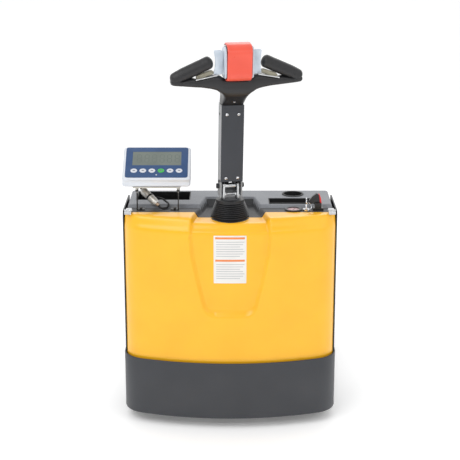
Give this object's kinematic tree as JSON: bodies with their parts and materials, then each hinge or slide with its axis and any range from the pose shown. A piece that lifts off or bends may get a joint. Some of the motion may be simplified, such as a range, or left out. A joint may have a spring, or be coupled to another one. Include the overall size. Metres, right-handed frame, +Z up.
{
  "type": "electric pallet truck",
  "caption": "Walk-behind electric pallet truck with steered tiller, weigh-scale forks, display on a bracket, bumper skirt and moulded covers.",
  "frame": {"origin": "on the ground below the centre of the box around the truck", "axes": "+X to the operator's right when facing the forks, +Y from the operator towards the fork tips, +Z up"},
  "size_m": [0.7, 1.663, 1.262],
  "materials": {
    "frame_black": "satin",
    "skirt_grey": "satin",
    "cover_yellow": "fine texture",
    "cover_grey": "textured",
    "liner_black": "matt",
    "trim_black": "satin",
    "zinc": "satin",
    "nickel": "polished",
    "battery_case": "matt",
    "hydraulic_grey": "satin",
    "fins": "matt",
    "bracket_steel": "brushed",
    "case_white": "satin",
    "panel_blue": "satin",
    "lcd": "gloss",
    "key_white": "satin",
    "key_green": "satin",
    "connector_alloy": "satin",
    "cable_black": "matt",
    "fork_black": "satin",
    "deck_paint": "satin",
    "link_steel": "oiled",
    "rod_chrome": "polished",
    "load_tread": "matt",
    "caster_tread": "matt",
    "drive_cast": "painted",
    "motor_black": "satin",
    "hub_iron": "machined",
    "drive_tread": "matt",
    "boot_rubber": "satin",
    "arm_grey": "satin",
    "arm_black": "satin",
    "head_black": "satin",
    "flange_white": "satin",
    "grip_rubber": "matt",
    "belly_red": "satin",
    "button_beige": "satin"
  },
  "bodies": {
    "chassis": {"chassis_frame": "frame_black", "bumper_skirt": "skirt_grey", "front_cover": "cover_yellow", "top_cover": "cover_grey", "cover_liners": "liner_black", "battery_gauge": "trim_black", "key_switch": "nickel", "disconnect_base": "trim_black", "cover_clamps": "zinc", "batteries": "battery_case", "hydraulic_unit": "hydraulic_grey", "lift_cylinder": "motor_black", "motor_controller": "fins", "indicator_bracket": "bracket_steel", "indicator_case": "case_white", "indicator_panel": "panel_blue", "indicator_display": "lcd", "cable_connector": "connector_alloy", "load_cell_cable": "cable_black"},
    "ignition_key": {"key": "nickel"},
    "disconnect": {"disconnect_handle": "trim_black"},
    "carriage": {"fork_carriage": "frame_black", "fork_left": "fork_black", "fork_right": "fork_black", "weigh_deck_left": "deck_paint", "weigh_deck_right": "deck_paint", "load_cells": "fins", "lift_ram": "rod_chrome"},
    "rocker": {"rocker_shaft": "link_steel"},
    "pull_rods": {"pull_rods": "link_steel"},
    "wheel_arm_left": {"wheel_arm_left": "link_steel"},
    "wheel_arm_right": {"wheel_arm_right": "link_steel"},
    "load_wheel_left": {"load_wheel_left": "load_tread"},
    "load_wheel_right": {"load_wheel_right": "load_tread"},
    "caster_left": {"caster_fork_left": "zinc"},
    "caster_right": {"caster_fork_right": "zinc"},
    "caster_wheel_left": {"caster_wheel_left": "caster_tread"},
    "caster_wheel_right": {"caster_wheel_right": "caster_tread"},
    "drive_unit": {"drive_housing": "drive_cast", "traction_motor": "motor_black", "boot": "boot_rubber"},
    "drive_wheel": {"drive_hub": "hub_iron", "drive_tyre": "drive_tread"},
    "tiller": {"tiller_arm": "arm_grey", "tiller_cover": "arm_black", "gas_spring_tube": "motor_black", "head_casting": "head_black", "head_flanges": "flange_white", "grips": "grip_rubber"},
    "gas_rod": {"gas_spring_rod": "rod_chrome"},
    "belly": {"belly_button": "belly_red"},
    "throttle": {"throttle_paddles": "flange_white"},
    "lift_btn": {"lift_button": "button_beige"},
    "lower_btn": {"lower_button": "button_beige"},
    "key_1": {"indicator_key_1": "key_white"},
    "key_2": {"indicator_key_2": "key_white"},
    "key_3": {"indicator_key_3": "key_white"},
    "key_4": {"indicator_key_4": "key_green"},
    "key_5": {"indicator_key_5": "key_white"},
    "key_6": {"indicator_key_6": "key_white"}
  },
  "joints": [
    {"name": "lift", "type": "slide", "parent": "chassis", "child": "carriage", "axis": [0, 0, 1], "range_m": [0, 0.115]},
    {"name": "rocker_turn", "type": "hinge", "parent": "carriage", "child": "rocker", "pos_m": [0, -0.38652, 0.062], "axis": [1, 0, 0], "range_deg": [-34.5, 0.5]},
    {"name": "pull_rod_slide", "type": "slide", "parent": "carriage", "child": "pull_rods", "axis": [0, 1, 0], "range_m": [-0.016, 0.0005]},
    {"name": "arm_left", "type": "hinge", "parent": "carriage", "child": "wheel_arm_left", "pos_m": [-0.2525, 0.46148, 0.048], "axis": [1, 0, 0], "range_deg": [-40.02, 0.5]},
    {"name": "arm_right", "type": "hinge", "parent": "carriage", "child": "wheel_arm_right", "pos_m": [0.2525, 0.46148, 0.048], "axis": [1, 0, 0], "range_deg": [-40.02, 0.5]},
    {"name": "load_wheel_left_spin", "type": "hinge", "parent": "wheel_arm_left", "child": "load_wheel_left", "pos_m": [-0.2525, 0.64615, 0.037], "axis": [1, 0, 0], "continuous": true},
    {"name": "load_wheel_right_spin", "type": "hinge", "parent": "wheel_arm_right", "child": "load_wheel_right", "pos_m": [0.2525, 0.64615, 0.037], "axis": [1, 0, 0], "continuous": true},
    {"name": "caster_left_swivel", "type": "hinge", "parent": "chassis", "child": "caster_left", "pos_m": [-0.25, -0.61852, 0.13], "axis": [0, 0, 1], "continuous": true},
    {"name": "caster_right_swivel", "type": "hinge", "parent": "chassis", "child": "caster_right", "pos_m": [0.25, -0.61852, 0.13], "axis": [0, 0, 1], "continuous": true},
    {"name": "caster_left_spin", "type": "hinge", "parent": "caster_left", "child": "caster_wheel_left", "pos_m": [-0.25, -0.58352, 0.05], "axis": [1, 0, 0], "continuous": true},
    {"name": "caster_right_spin", "type": "hinge", "parent": "caster_right", "child": "caster_wheel_right", "pos_m": [0.25, -0.58352, 0.05], "axis": [1, 0, 0], "continuous": true},
    {"name": "steer", "type": "hinge", "parent": "chassis", "child": "drive_unit", "pos_m": [0, -0.67352, 0.25], "axis": [0, 0, 1], "range_deg": [-72, 48]},
    {"name": "drive_spin", "type": "hinge", "parent": "drive_unit", "child": "drive_wheel", "pos_m": [0, -0.67352, 0.105], "axis": [0.9781, 0.2079, 0], "continuous": true},
    {"name": "tilt", "type": "hinge", "parent": "drive_unit", "child": "tiller", "pos_m": [0, -0.67352, 0.79], "axis": [0.9781, 0.2079, 0], "range_deg": [0, 75], "stiffness_Nm_per_rad": 18, "springref_deg": -51.57},
    {"name": "gas_rod_slide", "type": "slide", "parent": "tiller", "child": "gas_rod", "axis": [0.0163, -0.0767, 0.9969], "range_m": [-0.0005, 0.0285]},
    {"name": "belly_press", "type": "slide", "parent": "tiller", "child": "belly", "axis": [-0.2073, 0.9751, 0.0785], "range_m": [0, 0.008], "stiffness_N_per_m": 1500, "springref_m": -0.004},
    {"name": "throttle_turn", "type": "hinge", "parent": "tiller", "child": "throttle", "pos_m": [0.02219, -0.77791, 1.2029], "axis": [0.9781, 0.2079, 0], "range_deg": [-30, 30], "stiffness_Nm_per_rad": 0.8},
    {"name": "lift_press", "type": "slide", "parent": "tiller", "child": "lift_btn", "axis": [0.1706, 0.115, -0.9786], "range_m": [0, 0.003], "stiffness_N_per_m": 800, "springref_m": -0.001},
    {"name": "lower_press", "type": "slide", "parent": "tiller", "child": "lower_btn", "axis": [-0.2027, 0.0357, -0.9786], "range_m": [0, 0.003], "stiffness_N_per_m": 800, "springref_m": -0.001},
    {"name": "key_turn", "type": "hinge", "parent": "chassis", "child": "ignition_key", "pos_m": [0.246, -0.67652, 0.711], "axis": [0, 0, -1], "range_deg": [0, 60]},
    {"name": "disconnect_lever", "type": "hinge", "parent": "chassis", "child": "disconnect", "pos_m": [0.285, -0.66052, 0.722], "axis": [0, 1, 0], "range_deg": [0, 30]},
    {"name": "key_1_press", "type": "slide", "parent": "chassis", "child": "key_1", "axis": [0, 0.5736, -0.8192], "range_m": [0, 0.0008], "stiffness_N_per_m": 800, "springref_m": -0.0005},
    {"name": "key_2_press", "type": "slide", "parent": "chassis", "child": "key_2", "axis": [0, 0.5736, -0.8192], "range_m": [0, 0.0008], "stiffness_N_per_m": 800, "springref_m": -0.0005},
    {"name": "key_3_press", "type": "slide", "parent": "chassis", "child": "key_3", "axis": [0, 0.5736, -0.8192], "range_m": [0, 0.0008], "stiffness_N_per_m": 800, "springref_m": -0.0005},
    {"name": "key_4_press", "type": "slide", "parent": "chassis", "child": "key_4", "axis": [0, 0.5736, -0.8192], "range_m": [0, 0.0008], "stiffness_N_per_m": 800, "springref_m": -0.0005},
    {"name": "key_5_press", "type": "slide", "parent": "chassis", "child": "key_5", "axis": [0, 0.5736, -0.8192], "range_m": [0, 0.0008], "stiffness_N_per_m": 800, "springref_m": -0.0005},
    {"name": "key_6_press", "type": "slide", "parent": "chassis", "child": "key_6", "axis": [0, 0.5736, -0.8192], "range_m": [0, 0.0008], "stiffness_N_per_m": 800, "springref_m": -0.0005}
  ],
  "couplings": [
    {"joint": "rocker_turn", "follows": "lift", "rad_per_m": -5.1601},
    {"joint": "pull_rod_slide", "follows": "lift", "ratio": -0.13478},
    {"joint": "arm_left", "follows": "lift", "rad_per_m": -5.9978},
    {"joint": "arm_right", "follows": "lift", "rad_per_m": -5.9978},
    {"joint": "gas_rod_slide", "follows": "tilt", "m_per_rad": 0.020054}
  ]
}
